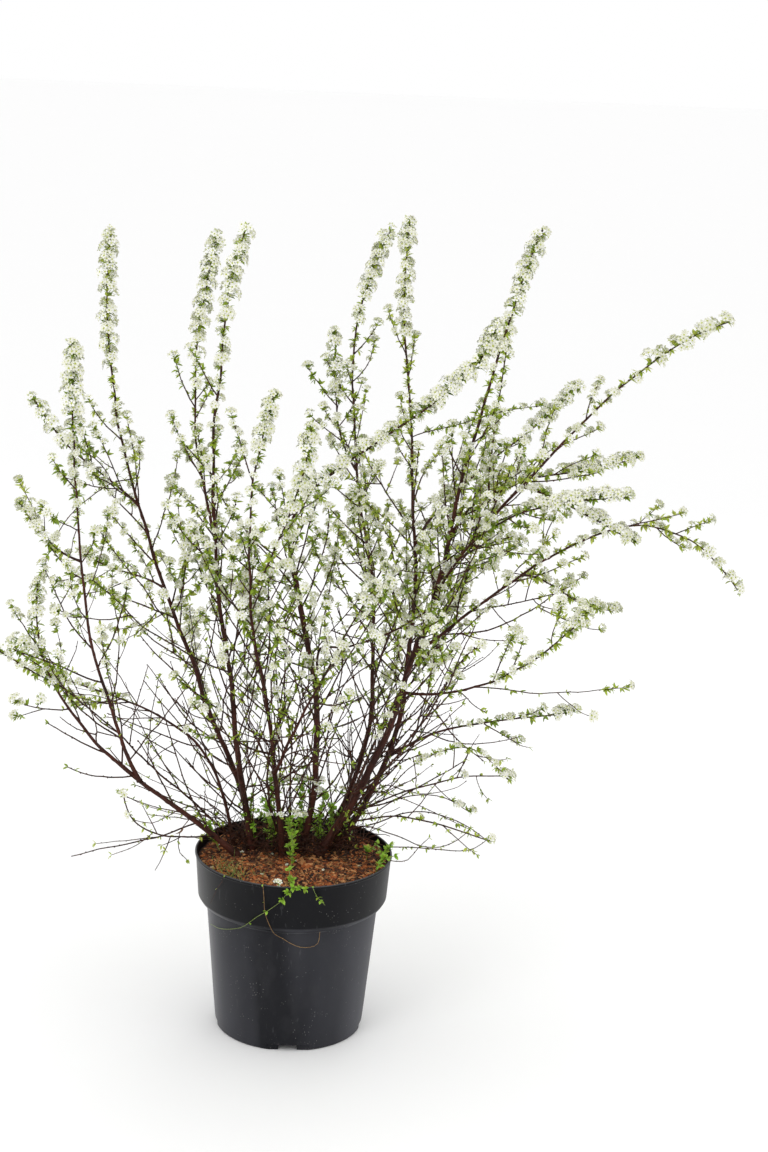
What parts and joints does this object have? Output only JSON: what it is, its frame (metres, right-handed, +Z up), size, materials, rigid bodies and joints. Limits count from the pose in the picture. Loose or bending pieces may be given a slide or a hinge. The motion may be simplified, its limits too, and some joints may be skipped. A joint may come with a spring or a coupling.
{
  "type": "potted flowering spirea shrub",
  "caption": "Potted spring-flowering shrub: slender arching wands with sleeves of small white blossom above bare stems, in a black round nursery pot.",
  "frame": {"origin": "centre of the pot's flat underside, on the surface that it stands on", "axes": "+Z up along the pot's axis; +X to the right and +Y away from the viewer as the plant is seen in the picture"},
  "size_m": [1.2172, 0.7418, 1.3127],
  "materials": {
    "pot": "matt black moulded plastic with faint vertical sheen and dust",
    "soil": "red-brown bark mulch and compost, dry on top",
    "bark": "thin smooth red-brown to dark brown bark with small buds",
    "blossom": "white blossom with yellow-green centres and fresh green leaves on thin brown twigs"
  },
  "bodies": {
    "root": {"blossom_arching": "blossom", "blossom_arching_fork": "blossom", "blossom_back": "blossom", "blossom_back_fork": "blossom", "blossom_back_left": "blossom", "blossom_centre_bow": "blossom", "blossom_far_left": "blossom", "blossom_far_right": "blossom", "blossom_front_fork": "blossom", "blossom_front_left": "blossom", "blossom_front_right": "blossom", "blossom_left": "blossom", "blossom_left_arch": "blossom", "blossom_left_fork": "blossom", "blossom_level_back": "blossom", "blossom_level_front": "blossom", "blossom_level_tip": "blossom", "blossom_low_front": "blossom", "blossom_low_left": "blossom", "blossom_low_right": "blossom", "blossom_lowest_front": "blossom", "blossom_lowest_left": "blossom", "blossom_lowest_right": "blossom", "blossom_middle_left": "blossom", "blossom_right": "blossom", "blossom_right_back": "blossom", "blossom_right_outer": "blossom", "blossom_upright": "blossom", "bough_arching": "bark", "bough_back_left": "bark", "bough_far_right": "bark", "bough_front_right": "bark", "bough_left_arch": "bark", "bough_left_fork": "bark", "bough_level_back": "bark", "bough_level_front": "bark", "bough_low_front": "bark", "bough_low_right": "bark", "bough_right_outer": "bark", "pot": "pot", "soil": "soil", "spray_back_high": "blossom", "spray_back_low": "blossom", "spray_centre": "blossom", "spray_left_back": "blossom", "spray_left_front": "blossom", "spray_left_high": "blossom", "spray_low_back": "blossom", "spray_low_front": "blossom", "spray_right_back": "blossom", "spray_right_front": "blossom", "stem_back": "bark", "stem_centre": "bark", "stem_far_left": "bark", "stem_front_left": "bark", "stem_left": "bark", "stem_low_left": "bark", "stem_middle_left": "bark", "stem_right": "bark", "stem_right_back": "bark"}
  },
  "joints": []
}
